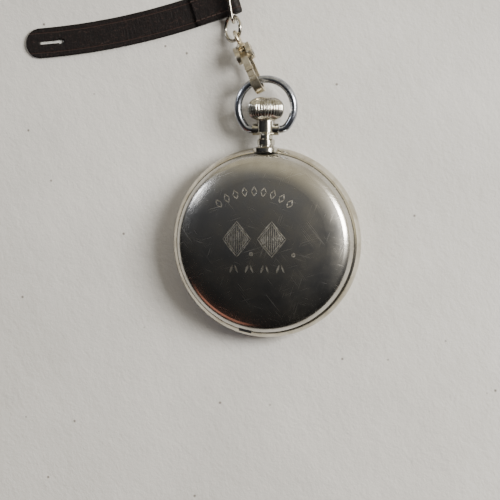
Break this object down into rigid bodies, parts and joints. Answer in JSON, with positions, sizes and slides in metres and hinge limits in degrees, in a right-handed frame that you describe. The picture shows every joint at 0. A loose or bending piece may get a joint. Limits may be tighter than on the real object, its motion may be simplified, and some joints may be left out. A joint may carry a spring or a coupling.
{
  "type": "pocket watch",
  "caption": "Open-face pocket watch with snap back, stem winding, lever movement, swivel clasp, split ring and folded leather strap.",
  "frame": {"origin": "centre of the crystal's flat outer face, on which the watch lies", "axes": "+Z out of the case back, +Y toward the pendant and crown, +X to the right of the case back"},
  "size_m": [0.092, 0.0952, 0.0136],
  "materials": {
    "nickel": "polished",
    "steel": "satin",
    "blued_steel": "gloss",
    "gilt_brass": "satin",
    "brass": "satin",
    "crystal_glass": "polished",
    "enamel": "gloss",
    "black_enamel": "gloss",
    "ruby": "polished",
    "leather": "satin",
    "thread": "matte",
    "rubber": "matte"
  },
  "bodies": {
    "case": {"case_middle": "nickel", "pendant": "nickel", "stem_sleeve": "gilt_brass", "dial": "enamel", "dial_markers": "black_enamel", "mainplate": "gilt_brass", "barrel_bridge": "gilt_brass", "train_bridge": "gilt_brass", "pallet_cock": "gilt_brass", "balance_cock": "gilt_brass", "jewels": "ruby", "bridge_screws": "steel", "case_screws": "steel", "hairspring": "blued_steel", "hairspring_stud": "steel", "regulator": "steel", "click_mount": "steel"},
    "cover": {"back_cover": "nickel"},
    "front": {"bezel": "nickel", "crystal": "crystal_glass"},
    "bow": {"bow": "steel"},
    "swivel": {"swivel_hook": "nickel", "gate_pin": "nickel", "gate_spring": "steel"},
    "gate": {"swivel_gate": "nickel"},
    "eye": {"swivel_shank": "nickel"},
    "ring": {"jump_ring": "steel"},
    "bail": {"bail": "nickel"},
    "strap": {"strap": "leather", "strap_stitches": "thread"},
    "crown_washer": {"crown_gasket": "rubber"},
    "crown": {"crown": "nickel", "winding_stem": "steel"},
    "clutch": {"clutch_wheel": "steel"},
    "setting_lever": {"setting_lever": "steel"},
    "yoke": {"yoke": "steel"},
    "winding_pinion": {"winding_pinion": "steel"},
    "crown_wheel": {"crown_wheel": "steel", "crown_wheel_screw": "steel"},
    "barrel_arbor": {"barrel_arbor": "steel", "ratchet_wheel": "steel", "ratchet_screw": "steel"},
    "click": {"click": "steel"},
    "third_wheel": {"third_wheel": "brass"},
    "centre_wheel": {"centre_wheel": "brass", "cannon_pinion": "steel", "minute_hand": "blued_steel"},
    "barrel": {"barrel_drum": "brass", "barrel_lid": "brass", "mainspring": "steel"},
    "fourth_wheel": {"fourth_wheel": "brass", "seconds_hand": "blued_steel"},
    "escape_wheel": {"escape_wheel": "steel"},
    "minute_wheel": {"minute_wheel": "steel"},
    "hour_wheel": {"hour_wheel": "brass", "hour_hand": "blued_steel"},
    "setting_wheel": {"setting_wheel": "steel"},
    "pallet_fork": {"pallet_fork": "steel"},
    "balance": {"balance_wheel": "brass", "balance_staff": "steel"}
  },
  "joints": [
    {"name": "back_cover_lift", "type": "slide", "parent": "case", "child": "cover", "axis": [0, 0, 1], "range_m": [0, 0.03]},
    {"name": "bezel_lift", "type": "slide", "parent": "case", "child": "front", "axis": [0, 0, -1], "range_m": [0, 0.02]},
    {"name": "bow_swing", "type": "hinge", "parent": "case", "child": "bow", "pos_m": [0, 0.0296, 0.0067], "axis": [1, 0, 0], "range_deg": [-100, 100]},
    {"name": "swivel_tilt", "type": "hinge", "parent": "bow", "child": "swivel", "pos_m": [-0.0025, 0.04227, 0.0067], "axis": [-0.9413, -0.3375, 0], "range_deg": [-25, 28]},
    {"name": "gate_open", "type": "hinge", "parent": "swivel", "child": "gate", "pos_m": [-0.0057, 0.04895, 0.00586], "axis": [0.9018, 0.4321, 0], "range_deg": [0, 15], "stiffness_Nm_per_rad": 0.002, "springref_deg": -17.19},
    {"name": "eye_turn", "type": "hinge", "parent": "swivel", "child": "eye", "pos_m": [-0.0057, 0.04895, 0.00586], "axis": [0.4193, -0.875, 0.2419], "continuous": true},
    {"name": "ring_swing", "type": "hinge", "parent": "eye", "child": "ring", "pos_m": [-0.00798, 0.0537, 0.00442], "axis": [0.9018, 0.4321, 0], "range_deg": [-25, 25]},
    {"name": "bail_swing", "type": "hinge", "parent": "ring", "child": "bail", "pos_m": [-0.00955, 0.0593, 0.003], "axis": [0.7431, 0, 0.6691], "range_deg": [-12, 12]},
    {"name": "strap_swing", "type": "hinge", "parent": "bail", "child": "strap", "pos_m": [-0.01035, 0.06397, 0.0016], "axis": [0.1633, -0.9866, 0], "range_deg": [-18, 2]},
    {"name": "crown_pull", "type": "slide", "parent": "case", "child": "crown_washer", "axis": [0, 1, 0], "range_m": [0, 0.00045]},
    {"name": "crown_turn", "type": "hinge", "parent": "crown_washer", "child": "crown", "pos_m": [0, 0.035, 0.0067], "axis": [0, 1, 0], "continuous": true},
    {"name": "clutch_slide", "type": "slide", "parent": "crown", "child": "clutch", "axis": [0, 1, 0], "range_m": [-0.0009, 0]},
    {"name": "setting_lever_turn", "type": "hinge", "parent": "case", "child": "setting_lever", "pos_m": [0.0036, 0.01895, 0.005], "axis": [0, 0, 1], "range_deg": [-7.3, 0]},
    {"name": "yoke_turn", "type": "hinge", "parent": "case", "child": "yoke", "pos_m": [0.0064, 0.0162, 0.005], "axis": [0, 0, 1], "range_deg": [0, 5.1]},
    {"name": "winding_pinion_turn", "type": "hinge", "parent": "case", "child": "winding_pinion", "pos_m": [0, 0.0166, 0.0067], "axis": [0, 1, 0], "continuous": true},
    {"name": "crown_wheel_turn", "type": "hinge", "parent": "case", "child": "crown_wheel", "pos_m": [0, 0.012, 0.01], "axis": [0, 0, 1], "continuous": true},
    {"name": "barrel_arbor_turn", "type": "hinge", "parent": "case", "child": "barrel_arbor", "pos_m": [0.00794, 0.00592, 0.007], "axis": [0, 0, 1], "continuous": true},
    {"name": "click_lift", "type": "hinge", "parent": "case", "child": "click", "pos_m": [0.01563, 0.00281, 0.0105], "axis": [0, 0, -1], "range_deg": [0, 14], "stiffness_Nm_per_rad": 0.000005, "springref_deg": -5.73},
    {"name": "third_turn", "type": "hinge", "parent": "case", "child": "third_wheel", "pos_m": [0.00356, -0.00573, 0.008], "axis": [0, 0, 1], "continuous": true},
    {"name": "centre_turn", "type": "hinge", "parent": "case", "child": "centre_wheel", "pos_m": [0, 0, 0.008], "axis": [0, 0, 1], "continuous": true},
    {"name": "barrel_turn", "type": "hinge", "parent": "case", "child": "barrel", "pos_m": [0.00794, 0.00592, 0.007], "axis": [0, 0, 1], "continuous": true},
    {"name": "fourth_turn", "type": "hinge", "parent": "case", "child": "fourth_wheel", "pos_m": [0, -0.0105, 0.008], "axis": [0, 0, 1], "continuous": true},
    {"name": "escape_turn", "type": "hinge", "parent": "case", "child": "escape_wheel", "pos_m": [-0.00528, -0.0105, 0.008], "axis": [0, 0, 1], "continuous": true},
    {"name": "minute_wheel_turn", "type": "hinge", "parent": "case", "child": "minute_wheel", "pos_m": [0, 0.00384, 0.005], "axis": [0, 0, 1], "continuous": true},
    {"name": "hour_turn", "type": "hinge", "parent": "case", "child": "hour_wheel", "pos_m": [0, 0, 0.0047], "axis": [0, 0, 1], "continuous": true},
    {"name": "setting_wheel_turn", "type": "hinge", "parent": "case", "child": "setting_wheel", "pos_m": [0, 0.0096, 0.005], "axis": [0, 0, 1], "continuous": true},
    {"name": "fork_swing", "type": "hinge", "parent": "case", "child": "pallet_fork", "pos_m": [-0.00782, -0.00814, 0.0085], "axis": [0, 0, 1], "range_deg": [-5, 5]},
    {"name": "balance_swing", "type": "hinge", "parent": "case", "child": "balance", "pos_m": [-0.0112, -0.005, 0.0094], "axis": [0, 0, 1], "range_deg": [-270, 270], "stiffness_Nm_per_rad": 0.000001}
  ],
  "couplings": [
    {"joint": "clutch_slide", "follows": "crown_pull", "ratio": -2},
    {"joint": "setting_lever_turn", "follows": "crown_pull", "rad_per_m": -280},
    {"joint": "yoke_turn", "follows": "crown_pull", "rad_per_m": 196},
    {"joint": "winding_pinion_turn", "follows": "crown_turn", "ratio": 1},
    {"joint": "crown_wheel_turn", "follows": "crown_turn", "ratio": -0.38095},
    {"joint": "barrel_arbor_turn", "follows": "crown_turn", "ratio": 0.27586},
    {"joint": "centre_turn", "follows": "third_turn", "ratio": -0.125},
    {"joint": "barrel_turn", "follows": "third_turn", "ratio": 0.019231},
    {"joint": "fourth_turn", "follows": "third_turn", "ratio": -7.5},
    {"joint": "escape_turn", "follows": "third_turn", "ratio": 75},
    {"joint": "minute_wheel_turn", "follows": "third_turn", "ratio": 0.041667},
    {"joint": "hour_turn", "follows": "third_turn", "ratio": -0.010417},
    {"joint": "setting_wheel_turn", "follows": "third_turn", "ratio": -0.041667}
  ]
}
